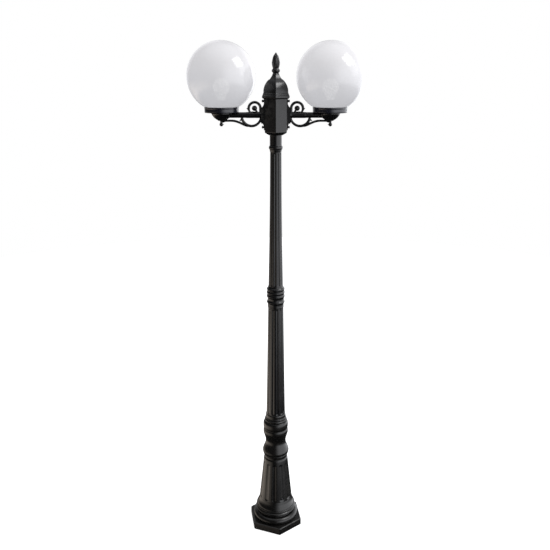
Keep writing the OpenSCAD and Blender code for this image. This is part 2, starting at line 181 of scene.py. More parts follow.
def hex_ring(apothem, z, corner, first=30.0, steps=8):
    """A hexagon with rounded corners; its first corner points at that many degrees."""
    ring = []
    for k in range(6):
        a = math.radians(first + 60 * k)
        reach = (apothem - corner) / math.cos(math.pi / 6)
        for i in range(steps):
            b = a + math.radians(60 * (i + 0.5) / steps - 30)
            ring.append((reach * math.cos(a) + corner * math.cos(b),
                         reach * math.sin(a) + corner * math.sin(b), z))
    return ring


def round_ring(r, z, first, steps):
    """A circle with as many points as hex_ring(), at much the same angles."""
    return hex_ring(r, z, r - 1e-3, first, steps)


def fluted(low, high, turn, share, depth):
    """A shape for lathe(): round-ended flutes between two heights, each a share of the pitch."""
    pitch = 2 * math.pi / FLUTES

    def shape(a, r, z):
        half = share * pitch * r / 2
        across = (((a - turn) / pitch) % 1 - 0.5) * pitch * r
        beyond = max(low + half - z, z - high + half, 0)
        away = math.hypot(across, beyond) / half
        return r - depth * max(0, 1 - away * away) ** 0.8
    return shape


def levels(start, stop, ends, fine=1.1, coarse=30):
    """Heights from start to stop, close together within the given stretches."""
    out, z = [start], start
    while z < stop - 1e-6:
        step = fine if any(a - fine <= z < b for a, b in ends) else coarse
        ahead = [a for a, b in ends if a > z + 1e-6]
        z = min([z + step, stop] + ahead[:1])
        out.append(z)
    return out


def sweep(path, radii, deep, side):
    """A bar along points in the XZ plane, with a half width for each; deep stretches it in Y."""
    rings = []
    sides = 20
    last = len(path) - 1
    for i, (x, z) in enumerate(path):
        before, after = path[max(i - 1, 0)], path[min(i + 1, last)]
        tangent = Vector((after[0] - before[0], after[1] - before[1])).normalized()
        ring = []
        for k in range(sides):
            a = 2 * math.pi * k / sides
            u, v = radii[i] * math.cos(a), radii[i] * deep * math.sin(a)
            ring.append((side * (x - tangent.y * u), v, z + tangent.x * u))
        rings.append(ring)
    for end, ring in ((0, rings[0]), (last, rings[-1])):
        x, z = path[end]
        other = path[1] if end == 0 else path[last - 1]
        out = Vector((x - other[0], z - other[1])).normalized() * radii[end] * 0.6
        tip = [(side * (x + out.x), 0, z + out.y)]
        middle = Vector((side * (x + out.x * 0.6), 0, z + out.y * 0.6))
        core = Vector((side * x, 0, z))
        shoulder = [tuple((Vector(p) - core) * 0.72 + middle) for p in ring]
        if end == 0:
            rings = [tip, shoulder] + rings
        else:
            rings = rings + [shoulder, tip]
    bm = bmesh.new()
    loft(bm, rings, closed=False)
    return new_object("part", bm)


def bend(x, z, r, start, end, steps):
    """Points on an arc in the XZ plane about (x, z), with angles in degrees from +X towards +Z."""
    return [(x + r * math.cos(math.radians(start + (end - start) * k / steps)),
             z + r * math.sin(math.radians(start + (end - start) * k / steps)))
            for k in range(steps + 1)]


def slab(bm, outline, y0, y1, side=1):
    """A plate whose outline lies in the XZ plane, between two depths."""
    front = [bm.verts.new((side * x, y0, z)) for x, z in outline]
    back = [bm.verts.new((side * x, y1, z)) for x, z in outline]
    bm.faces.new(front)
    bm.faces.new(back[::-1])
    for i in range(len(front)):
        j = (i + 1) % len(front)
        bm.faces.new((front[j], front[i], back[i], back[j]))


def turned_about(bm, axis_point, rotation):
    """Turns a mesh that was built about the Z axis and sets it down at a point."""
    matrix = Matrix.Translation(axis_point) @ rotation
    bmesh.ops.transform(bm, matrix=matrix, verts=bm.verts)


def new_object(name, bm):
    bmesh.ops.recalc_face_normals(bm, faces=bm.faces)
    mesh = bpy.data.meshes.new(name)
    bm.to_mesh(mesh)
    bm.free()
    mesh.transform(Matrix.Scale(MM, 4))
    made = bpy.data.objects.new(name, mesh)
    bpy.context.scene.collection.objects.link(made)
    return made


def combine(target, cutters, operation):
    """Cuts the cutters out of the target, or joins them to it, and leaves one plain mesh."""
    for cutter in cutters:
        step = target.modifiers.new("step", "BOOLEAN")
        step.operation = operation
        step.solver = "EXACT"
        step.object = cutter
    graph = bpy.context.evaluated_depsgraph_get()
    result = bpy.data.meshes.new_from_object(target.evaluated_get(graph))
    target.modifiers.clear()
    target.data = result
    for cutter in cutters:
        bpy.data.objects.remove(cutter)


def finish_piece(made, material, body, slot, nodes, sharp=35, bevel=0.0, weighted=True):
    """Smooths and paints a piece, and says what it rides on and which nodes it stands for."""
    mesh = made.data
    mesh.polygons.foreach_set("use_smooth", [True] * len(mesh.polygons))
    mesh.set_sharp_from_angle(angle=math.radians(sharp))
    if bevel:
        edge = made.modifiers.new("edge", "BEVEL")
        edge.width = bevel * MM
        edge.segments = 3
        edge.limit_method = "ANGLE"
        edge.angle_limit = math.radians(sharp)
    if weighted:
        even = made.modifiers.new("even", "WEIGHTED_NORMAL")
        even.keep_sharp = True
    mesh.materials.clear()
    mesh.materials.append(material)
    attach(made, body)
    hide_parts(*nodes)
    return made


def piece(name, bm, material, body, slot, nodes, **finish):
    return finish_piece(new_object(name, bm), material, body, slot, nodes, **finish)


# ---------- materials ----------

def node(tree, kind, inputs=None, **settings):
    made = tree.nodes.new("ShaderNode" + kind)
    for key, value in settings.items():
        setattr(made, key, value)
    for key, value in (inputs or {}).items():
        if isinstance(value, bpy.types.NodeSocket):
            tree.links.new(value, made.inputs[key])
        else:
            made.inputs[key].default_value = value
    return made


def noise(tree, scale, detail, stretch=(1, 1, 1)):
    place = node(tree, "TexCoord").outputs["Object"]
    if stretch != (1, 1, 1):
        place = node(tree, "Mapping", {"Vector": place, "Scale": stretch}).outputs["Vector"]
    return node(tree, "TexNoise", {"Vector": place, "Scale": scale, "Detail": detail}).outputs[0]


def between(tree, value, low, high, first=0.0, last=1.0):
    """The value from low to high, carried over to run from first to last."""
    return node(tree, "MapRange", {"Value": value, "From Min": low, "From Max": high,
                                   "To Min": first, "To Max": last}).outputs["Result"]


def mixed(tree, factor, a, b):
    made = tree.nodes.new("ShaderNodeMix")
    made.data_type = "RGBA"
    for index, value in ((0, factor), (6, a), (7, b)):
        if isinstance(value, bpy.types.NodeSocket):
            tree.links.new(value, made.inputs[index])
        elif index:
            made.inputs[index].default_value = (*value, 1)
        else:
            made.inputs[index].default_value = value
    return made.outputs[2]


def maths(tree, operation, a, b):
    return node(tree, "Math", {0: a, 1: b}, operation=operation).outputs[0]


def blank(name, **sockets):
    material = bpy.data.materials.new(name)
    material.use_nodes = True
    tree = material.node_tree
    surface = tree.nodes["Principled BSDF"]
    for key, value in sockets.items():
        surface.inputs[key.replace("_", " ")].default_value = value
    return material, tree, surface


def bump(tree, surface, height, distance, strength=1.0):
    made = node(tree, "Bump", {"Height": height, "Distance": distance, "Strength": strength})
    tree.links.new(made.outputs["Normal"], surface.inputs["Normal"])


def coated(name, colour, dusty, rough):
    """Satin black coat on a casting: speckle, an uneven sheen, edges lightened partly as rubbed
    wear and partly as a painted highlight, and a little dust.
    """
    material, tree, surface = blank(name, Specular_IOR_Level=0.45, Coat_Weight=0.12,
                                    Coat_Roughness=0.3)
    speckle = noise(tree, 900, 2)
    patches = noise(tree, 14, 5)
    grime = noise(tree, 60, 6)
    up = node(tree, "SeparateXYZ", {0: node(tree, "NewGeometry").outputs["Normal"]}).outputs["Z"]
    edges = node(tree, "NewGeometry").outputs["Pointiness"]
    flecks = [c * 1.6 + 0.001 for c in colour]
    tone = mixed(tree, between(tree, speckle, 0.35, 0.75), colour, flecks)
    tone = mixed(tree, between(tree, patches, 0.35, 0.7, 0.0, 0.3), tone, dusty)
    dust = maths(tree, "MULTIPLY", between(tree, up, 0.3, 1.0, 0.0, 0.16),
                 between(tree, grime, 0.4, 0.7))
    tone = mixed(tree, dust, tone, (0.045, 0.044, 0.043))
    # Lighter edges: partly rubbed wear, partly a painted highlight along the edges
    wear_and_edge_highlight = maths(tree, "MULTIPLY", between(tree, edges, 0.53, 0.62),
                 between(tree, grime, 0.42, 0.62, 0.0, 0.6))
    tone = mixed(tree, wear_and_edge_highlight, tone, (0.07, 0.066, 0.06))
    tree.links.new(tone, surface.inputs["Base Color"])
    sheen = between(tree, patches, 0.3, 0.7, rough - 0.06, rough + 0.08)
    tree.links.new(maths(tree, "ADD", sheen, between(tree, speckle, 0.3, 0.7, -0.05, 0.07)),
                   surface.inputs["Roughness"])
    cast = noise(tree, 260, 4)
    relief = maths(tree, "ADD", maths(tree, "MULTIPLY", speckle, 0.45), cast)
    bump(tree, surface, relief, 0.00004)
    return material


def gloss_moulding():
    """Smooth blue-black moulded plastic with faint flow marks."""
    material, tree, surface = blank("moulding", Specular_IOR_Level=0.5, Coat_Weight=0.4,
                                    Coat_Roughness=0.12)
    flow = noise(tree, 30, 3, (1, 1, 5))
    tone = mixed(tree, between(tree, flow, 0.35, 0.7), (0.006, 0.0068, 0.013),
                 (0.012, 0.0135, 0.024))
    tree.links.new(tone, surface.inputs["Base Color"])
    tree.links.new(between(tree, noise(tree, 180, 4), 0.3, 0.7, 0.24, 0.34),
                   surface.inputs["Roughness"])
    bump(tree, surface, noise(tree, 120, 3), 0.00003)
    return material


def opal():
    """Blown opal acrylic: milky, faintly blue low down, a little of the bulb showing through, and a
    painted even glow standing in for the light on it.
    """
    # The emission is a painted glow that evens out and brightens the globe's lit look
    material, tree, surface = blank("opal", Roughness=0.2, Specular_IOR_Level=0.3, Alpha=0.86,
                                    Coat_Weight=0.5, Coat_Roughness=0.1,
                                    Emission_Color=(0.985, 0.975, 1, 1), Emission_Strength=0.43)
    height = node(tree, "SeparateXYZ", {0: node(tree, "TexCoord").outputs["Object"]}).outputs["Z"]
    low, high = (GLOBE_Z - GLOBE_R) * MM, (GLOBE_Z + GLOBE_R * 0.4) * MM
    milk = mixed(tree, between(tree, height, low, high), (0.40, 0.42, 0.46), (0.42, 0.415, 0.425))
    cloud = between(tree, noise(tree, 9, 2), 0.3, 0.7)
    milk = mixed(tree, maths(tree, "MULTIPLY", cloud, 0.25), milk, (0.44, 0.44, 0.45))
    tree.links.new(milk, surface.inputs["Base Color"])
    bump(tree, surface, noise(tree, 22, 2), 0.0004, 0.35)
    return material


def metal(name, dark, light, rough):
    """Plated or plain metal with drawn marks and small stains."""
    material, tree, surface = blank(name, Metallic=1.0)
    marks = noise(tree, 300, 4)
    stains = noise(tree, 45, 5)
    tone = mixed(tree, between(tree, marks, 0.3, 0.7), dark, light)
    tone = mixed(tree, between(tree, stains, 0.55, 0.75, 0.0, 0.5), tone, [c * 0.45 for c in dark])
    tree.links.new(tone, surface.inputs["Base Color"])
    tree.links.new(between(tree, marks, 0.3, 0.7, rough - 0.08, rough + 0.1),
                   surface.inputs["Roughness"])
    bump(tree, surface, marks, 0.00003)
    return material


def plain(name, first, second, rough, scale=120, grain=0.00004, **sockets):
    """A non-metal with a mottled tone and a fine surface."""
    material, tree, surface = blank(name, **sockets)
    mottle = noise(tree, scale, 4)
    tone = mixed(tree, between(tree, mottle, 0.3, 0.7), first, second)
    tree.links.new(tone, surface.inputs["Base Color"])
    tree.links.new(between(tree, mottle, 0.3, 0.7, rough - 0.06, rough + 0.06),
                   surface.inputs["Roughness"])
    bump(tree, surface, noise(tree, scale * 5, 3), grain)
    return material


IRON = coated("iron_coat", (0.005, 0.0048, 0.0046), (0.011, 0.0095, 0.008), 0.21)
CAST = coated("cast_coat", (0.0055, 0.0055, 0.006), (0.010, 0.010, 0.011), 0.19)
MOULDING = gloss_moulding()
BLACK_STEEL = metal("black_steel", (0.03, 0.03, 0.033), (0.07, 0.07, 0.075), 0.42)
ZINC = metal("zinc_steel", (0.42, 0.43, 0.45), (0.62, 0.63, 0.65), 0.34)
BRASS = metal("brass", (0.55, 0.38, 0.14), (0.76, 0.58, 0.27), 0.3)
CAP_METAL = metal("cap_metal", (0.52, 0.52, 0.53), (0.72, 0.72, 0.73), 0.28)
PORCELAIN = plain("porcelain", (0.76, 0.74, 0.69), (0.86, 0.85, 0.81), 0.18, 60, 0.00002,
                  Coat_Weight=0.6, Coat_Roughness=0.08)
TERMINAL = plain("terminal_plastic", (0.66, 0.62, 0.5), (0.76, 0.73, 0.62), 0.5)
RUBBER = plain("seal_rubber", (0.018, 0.018, 0.018), (0.04, 0.04, 0.04), 0.7, 400)
SHEATH = plain("lead_sheath", (0.3, 0.035, 0.025), (0.42, 0.06, 0.045), 0.45)
OPAL = opal()
FROSTED = plain("bulb_glass", (0.88, 0.88, 0.85), (0.95, 0.95, 0.93), 0.25, 40, 0.00002,
                Emission_Color=(1, 1, 0.97, 1), Emission_Strength=3.0)
SLOT_MATERIAL = {
    "iron_coat": IRON, "cast_coat": CAST, "moulding": MOULDING, "black_steel": BLACK_STEEL,
    "zinc_steel": ZINC, "brass": BRASS, "terminal_plastic": TERMINAL, "porcelain": PORCELAIN,
    "seal_rubber": RUBBER, "lead_sheath": SHEATH, "opal": OPAL, "bulb_glass": FROSTED,
    "cap_metal": CAP_METAL,
}
for part in frame["record"]["subparts"]:
    own = frame["nodes"][part["node"]].data
    own.materials.clear()
    own.materials.append(SLOT_MATERIAL[part["material_slot"]])


# ---------- foot and post ----------

def cylinder(r, z0, z1, sides, at=(0, 0)):
    bm = bmesh.new()
    lathe(bm, [(0, z0), (r, z0), (r, z1), (0, z1)], sides, closed=False, at=at)
    return bm


def ray_cylinder(r, reach0, reach1, angle, z, at=(0, 0)):
    """A round bar along a horizontal ray from a vertical axis."""
    bm = cylinder(r, reach0, reach1, 32)
    lay = Matrix.Rotation(angle, 4, "Z") @ Matrix.Rotation(math.pi / 2, 4, "Y")
    turned_about(bm, (at[0], at[1], z), lay)
    return bm


def foot():
    """Hexagonal plate, big round moulding and spigot in one casting, hollow above its floor."""
    first = math.degrees(FOOT_TURN) - 90
    apothem = FOOT_CORNERS / 2 * math.cos(math.pi / 6)
    steps = 24
    rings = [hex_ring(a, z, corner, first, steps) for a, z, corner in (
        (apothem - 1.2, 0, 3), (apothem, 1.2, 4), (apothem, 26.5, 4), (apothem - 0.7, 28.6, 4),
        (apothem - 2.2, 29.7, 3.6), (apothem - 4, 30, 3.2))]
    outline = [(87.5, 30), (86.2, 30.3)]
    outline += arc(79, 44, 15, -60, 100, 22)
    outline += curve([
        (74.8, 59.4), (74, 61), (74, 66), (74, 66), (69.5, 66), (69.5, 66), (69.5, 76), (69.5, 76),
        (64, 76), (64, 76), (64, 14), (61, 12), (61, 12), (27, 12), (24, 14), (24, 60), (24, 60),
        (13.6, 60), (13.6, 60), (13.6, 12), (13.6, 12), (10.5, 12), (10.5, 12), (10.5, 0),
        (10.5, 0)], 3)
    rings += [round_ring(r, z, first, steps) for r, z in outline]
    bm = bmesh.new()
    loft(bm, rings)
    made = new_object("foot", bm)
    ears, holes = [], []
    for a in BELL_SCREWS:
        ear = bmesh.new()
        slab(ear, [(50, 8), (56.5, 8), (56.5, 148), (55, 152), (51.5, 152), (50, 148)], -8, 8)
        bmesh.ops.transform(ear, matrix=Matrix.Rotation(a, 4, "Z"), verts=ear.verts)
        ears.append(new_object("ear", ear))
        holes.append(new_object("tapping", ray_cylinder(2.5, 46, 60, a, BELL_SCREW_Z)))
        b = a + math.radians(60)
        anchor = cylinder(5.5, -2, 15, 40, (47 * math.cos(b), 47 * math.sin(b)))
        holes.append(new_object("anchor", anchor))
    combine(made, ears, "UNION")
    combine(made, holes, "DIFFERENCE")
    finish_piece(made, IRON, "post", "iron_coat", ["foot_plate"], sharp=30, bevel=0.4)


def bell():
    """Fluted cone over two rings, as a thin casting, with sunk seats for its three screws."""
    top = 256.0
    low, high = BELL_Z + 60, BELL_Z + 230
    base = [(76, 0), (78.6, 0.2)]
    base += arc(78.6, 6.6, 5.4, -75, 68, 12)
    base += [(79.2, 13.2)]
    base += arc(76.6, 18.8, 5.0, -55, 62, 10)
    base += curve([(78.6, 23.8), (78.6, 23.8), (78.2, 27), (76.2, 32), (73.4, 38), (70.8, 46),
                   (69, 55), (68.3, 58)], 4)[1:]
    cone = [(68.3 - (z - 58) * (68.3 - 49.9) / 186, z)
            for z in levels(59, 244, [(59, 74), (212, 232)])]
    crown = curve([(49.7, 245.5), (48.8, 248), (47.6, 250), (47, 252), (47, top), (47, top)], 3)
    inside = curve([(42, top), (42, top), (42, 240), (61, 60), (68, 34), (70, 28), (70, 6),
                    (72, 0)], 2)
    outline = raised(base + cone + crown + inside, BELL_Z)
    flutes = fluted(low, high, FOOT_TURN, 0.55, 2.4)

    def shape(a, r, z):
        outside = r > 50 and r > 60.5 - (z - low) * 0.09
        return flutes(a, r, z) if outside and low <= z <= high else r
    bm = bmesh.new()
    lathe(bm, outline, FLUTES * 20, shape=shape, turn=FOOT_TURN)
    made = new_object("bell", bm)
    holes = []
    for a in BELL_SCREWS:
        holes.append(new_object("bore", ray_cylinder(2.7, 55, 66, a, BELL_SCREW_Z)))
        holes.append(new_object("seat", ray_cylinder(5.2, 63, 72, a, BELL_SCREW_Z)))
    combine(made, holes, "DIFFERENCE")
    finish_piece(made, IRON, "post", "iron_coat", ["bell_base"], sharp=40, weighted=False)


def screw_head(r, length, shank_r, shank, waisted):
    """A domed screw along +Z, its seat at 0 and its shank below; a waist parts its washer face."""
    bm = bmesh.new()
    outline = [(0, -shank), (shank_r, -shank), (shank_r, 0), (r - 0.3, 0), (r, 0.4)]
    if waisted:
        outline += curve([(r, 1.4), (r, 1.4), (r * 0.72, 2), (r * 0.68, length * 0.36),
                          (r * 0.9, length * 0.48), (r * 0.96, length * 0.62)], 3)[1:]
    else:
        outline += [(r, length * 0.45)]
    outline += curve([outline[-1], (r * 0.84, length * 0.8), (r * 0.5, length * 0.95),
                      (0, length)], 4)[1:]
    lathe(bm, outline, 40, closed=False)
    return bm


def slot_cutter(r, length):
    """The block that cuts a screwdriver slot across a head."""
    width, deep = 1.1, 1.4
    bm = bmesh.new()
    reach, floor, top = r + 1, length - deep, length + 1
    slab(bm, [(-reach, floor), (reach, floor), (reach, top), (-reach, top)], -width / 2, width / 2)
    return bm


def set_screw(name, r, length, shank_r, shank, place, lay, twist, waisted=False):
    """A slotted screw, laid along a direction at a place."""
    head = screw_head(r, length, shank_r, shank, waisted)
    cutter = slot_cutter(r, length)
    bmesh.ops.transform(cutter, matrix=Matrix.Rotation(twist, 4, "Z"), verts=cutter.verts)
    for bm in (head, cutter):
        turned_about(bm, place, lay)
    made = new_object(name, head)
    combine(made, [new_object("slot", cutter)], "DIFFERENCE")
    return made


def join(name, objects):
    """Makes one object of several."""
    bm = bmesh.new()
    for one in objects:
        bm.from_mesh(one.data)
        bpy.data.objects.remove(one)
    mesh = bpy.data.meshes.new(name)
    bm.to_mesh(mesh)
    bm.free()
    made = bpy.data.objects.new(name, mesh)
    bpy.context.scene.collection.objects.link(made)
    return made


def bell_screws():
    """The three screws round the bell."""
    heads = []
    seat = 63
    for k, a in enumerate(BELL_SCREWS):
        lay = Matrix.Rotation(a, 4, "Z") @ Matrix.Rotation(math.pi / 2, 4, "Y")
        place = (seat * math.cos(a), seat * math.sin(a), BELL_SCREW_Z)
        heads.append(set_screw("screw", 4.6, 4.2, 2.45, 15, place, lay, 0.7 + k))
    finish_piece(join("bell_fixings", heads), BLACK_STEEL, "post", "black_steel", ["bell_screws"])


def coupler():
    """Baluster coupler: a lip, a waist, two swelling bands and a stepped collar."""
    outline = [(34, 0)]
    outline += curve([
        (46.9, 0), (46.9, 0), (47, 4), (48, 6), (50, 7.2), (50.9, 9.2), (50.6, 11.4),
        (49.3, 12.8), (49.3, 12.8), (50.8, 14.2), (53.2, 17.6), (54.2, 22.6), (54.1, 27),
        (52.9, 32), (51.6, 36), (49, 43), (45.4, 52), (42.9, 60), (41.9, 68), (42.2, 77),
        (43.9, 86), (46.4, 94.5), (48.4, 102), (49, 106), (49, 106), (50.3, 108.2), (50.9, 112.5),
        (50.9, 120), (50.2, 125), (49, 127.4), (49, 127.4), (48.6, 130), (49, 132.6), (49, 132.6),
        (50.4, 135.6), (50.9, 141), (50.9, 150), (50.2, 156.5), (48.2, 161.4), (46.4, 163.4),
        (46.4, 163.4), (44.6, 164.2), (44.6, 164.2), (45.6, 167), (45.9, 170), (45, 173),
        (43.2, 174.2), (43.2, 174.2), (41.4, 175.2), (41.4, 175.2), (42.6, 177.6), (42.6, 180),
        (41, 182), (41, 182), (40.6, 186), (40.6, 192), (39.8, 196.6), (38.6, 198),
        (38.6, 198)], 4)
    outline += [(34, 198)]
    bm = bmesh.new()
    lathe(bm, raised(outline, COUPLER_Z))
    piece("coupler", bm, IRON, "post", "iron_coat", ["base_coupler"], sharp=32)


def shaft(name, node_name, outline, z0, z1, turn, depth, material):
    """A tapered fluted tube; outline gives its radius at shares of its height."""
    height = z1 - z0
    margin = 3
    low, high = z0 + margin, z1 - margin
    profile = curve([(r, share * height) for share, r in outline], 12)

    def radius(z):
        for (r0, h0), (r1, h1) in zip(profile, profile[1:]):
            if h0 <= z - z0 <= h1 + 1e-6:
                return r0 + (r1 - r0) * (z - z0 - h0) / (h1 - h0)
        return profile[-1][0]
    heights = levels(z0, z1, [(low - 1, low + 11), (high - 11, high + 1)], 0.9, 12)
    outer = [(radius(z), z) for z in heights]
    wall = 4.5
    flutes = fluted(low, high, turn, 0.6, depth)
    inner = [(radius(z1) - wall, z1), (radius(z0) - wall, z0)]

    def shape(a, r, z):
        outside = r >= radius(z) - 1e-3
        return flutes(a, r, z) if outside and low <= z <= high else r
    bm = bmesh.new()
    lathe(bm, outer + inner, FLUTES * 20, shape=shape, turn=turn)
    piece(name, bm, material, "post", "cast_coat", [node_name], sharp=40, weighted=False)


def mid_coupling():
    """Four beads on a sleeve between the shafts."""
    outline = [(20, 0)]
    outline += curve([
        (30.6, 0), (30.6, 0), (31.4, 3), (31.2, 8), (31.2, 14), (31.6, 17.5), (33.2, 19.4),
        (35, 22.4), (35, 25.4), (33.2, 28.4), (32, 30.4), (31.8, 35), (32.2, 40.4), (33.8, 43),
        (35.1, 46.4), (35.1, 49.6), (33.8, 52.8), (32.9, 55), (33.4, 57.4), (34.7, 60),
        (35.2, 62.6), (34.7, 65.4), (33.2, 68), (32.8, 70), (33.5, 72.6), (34.7, 75.2),
        (34.7, 78.4), (33.2, 81), (31, 83), (29.8, 86), (28.9, 89), (28.9, 89)], 4)
    outline += [(20, 89)]
    bm = bmesh.new()
    lathe(bm, raised(outline, MID_Z))
    piece("middle_coupling", bm, CAST, "post", "cast_coat", ["mid_coupling"], sharp=34)


def neck():
    """The neck under the head box, with one ring."""
    height = BOX_Z - NECK_Z
    outline = [(14, 0)]
    outline += curve([
        (21.1, 0), (21.1, 0), (21.6, 3), (22.3, 6.4), (22.9, 10), (22.9, 10), (24.6, 11.6),
        (25.5, 14.6), (25.5, 18.4), (24.6, 21.2), (23.2, 22.6), (23.2, 22.6), (22.4, 25),
        (22.2, 30), (22.2, height - 4), (22.6, height - 1), (22.6, height), (22.6, height)], 4)
    outline += [(14, height)]
    bm = bmesh.new()
    lathe(bm, raised(outline, NECK_Z), 96)
    piece("neck", bm, CAST, "post", "cast_coat", ["neck_collar"], sharp=34)


# ---------- head ----------

def head_box():
    """Hexagonal box with a sloped floor, open at its top."""
    full, inner = BOX_APOTHEM, BOX_APOTHEM - BOX_WALL
    outline = [(13.6, 0, 13), (24.5, 0, 8), (26, 0.6, 7), (38.6, 8.9, 4), (39.6, 10.4, 3.4),
               (full, 12.4, 3), (full, 64, 2.6), (full, 127.4, 2.6), (39.6, BOX_TALL, 2.4),
               (inner, BOX_TALL, 1.5), (inner, 13, 1.5), (33.5, 10, 1.5), (13.6, 10, 13)]
    bm = bmesh.new()
    loft(bm, [hex_ring(a, BOX_Z + z, corner) for a, z, corner in outline])
    made = new_object("head", bm)
    holes = []
    low, high = BRACKET_ROWS
    for angle in (0, math.pi):
        for z, r in ((low, 3.2), (high, 3.2), (ARM_RISE, 4.5)):
            holes.append(new_object("hole", ray_cylinder(r, 30, 46, angle, BOX_Z + z)))
    combine(made, holes, "DIFFERENCE")
    finish_piece(made, CAST, "post", "cast_coat", ["head_box"], sharp=30)


def cap():
    """Hexagonal ogee cap: a stepped rim, a swelling dome, a crease and a hollow upper slope."""
    outer = curve([
        (44.4, 0), (44.4, 0), (47.9, 3), (48.7, 3.5), (48.7, 3.5), (49, 4.2), (49, 9.8),
        (48.2, 11.4), (48.2, 11.4), (46.8, 12.2), (46.6, 13.4), (46.4, 16.6), (45.8, 18),
        (45.8, 18), (44.6, 18.8), (44.2, 20.6),
        (44, 29), (42.7, 37), (39.8, 45.6), (35.9, 53), (31, 59.6), (27, 63.6), (24.8, 65.4),
        (24.8, 65.4), (22.4, 66.2), (22.4, 66.2), (19.2, 70.2), (15.8, 75.4), (13.1, 80.4),
        (11.4, 86), (11.4, 86)], 4)
    inner = curve([
        (4.1, 86), (4.1, 86), (4.1, 80), (4.1, 80), (9, 79), (14, 71), (20, 64), (28, 56),
        (34, 47), (37.5, 36), (38, 24), (34, 18), (33.2, 10), (33.2, -2.5), (33.2, -2.5),
        (36.2, -2.5), (36.2, -2.5), (36.2, 0), (36.2, 0)], 3)
    rings = []
    for a, z in outer:
        rings.append(hex_ring(a, CAP_Z + z, min(1.6, a * 0.14)))
    for a, z in inner:
        rings.append(hex_ring(a, CAP_Z + z, 4.0 if a < 5 else 2.0))
    bm = bmesh.new()
    loft(bm, rings)
    piece("ogee_cap", bm, CAST, "post", "cast_coat", ["cap"], sharp=24)


def leaf_relief(a, z, z0, z1, count, turn, lift):
    """How far the pointed leaves of one whorl stand out at an angle and a height."""
    share = (z - z0) / (z1 - z0)
    if not 0 <= share <= 1:
        return 0.0
    pitch = 2 * math.pi / count
    across = abs(((a - turn) / pitch + 0.5) % 1 - 0.5) * 2
    half = 0.98 * (1 - share ** 2.2) ** 0.75 + 1e-3
    inside = across / half
    if inside >= 1:
        return 0.0
    edge = min(1, (1 - inside) / 0.18)
    crown = 1 - 0.35 * inside * inside
    vein = 0.28 * math.exp(-(across / 0.07) ** 2)
    return lift * (0.35 + 0.65 * share) * (edge * (2 - edge)) * crown - vein * lift


def finial():
    """A ball on a neck, and above it a long bud wrapped in overlapping leaves."""
    top = FINIAL_TOP - FINIAL_Z
    stem = curve([(4.02, 0), (4.02, 0), (10.6, 0), (10.6, 0), (10.4, 1.6), (11.4, 3.4), (13.6, 5.4),
                  (14.8, 8.6), (14.4, 12), (12.8, 14.6), (11.3, 16.4), (10.6, 18.4), (11.2, 21)], 5)
    bud = [(r, z) for r, z in curve([
        (11.2, 21), (12.2, 26), (13, 32), (13.1, 38), (12.2, 45), (10.4, 52), (7.6, 59), (4.6, 65),
        (2.2, 69), (0.0, top)], 14)[1:]]
    whorls = ((18, 40, 6, 0.0, 1.5), (28, 52, 6, 0.5, 1.7), (40, 63, 6, 0.0, 1.5),
              (50, 70.5, 4, 0.5, 1.0))

    def shape(a, r, z):
        h = z - FINIAL_Z
        if h < 18.6 or r < 0.2 or r < 4.1 and h < 30:
            return r
        best = 0.0
        for z0, z1, count, turn, lift in whorls:
            relief = leaf_relief(a, h, z0, z1, count, turn * 2 * math.pi / count, lift)
            best = max(best, relief)
        return r + best * min(1, r / 5)
    outline = raised(stem + bud, FINIAL_Z)
    core = raised([(0, 17), (4.02, 17)], FINIAL_Z)
    bm = bmesh.new()
    lathe(bm, core + outline, 180, closed=False, shape=shape)
    piece("bud_finial", bm, CAST, "post", "cast_coat", ["finial"], sharp=50, weighted=False)


# ---------- arms ----------

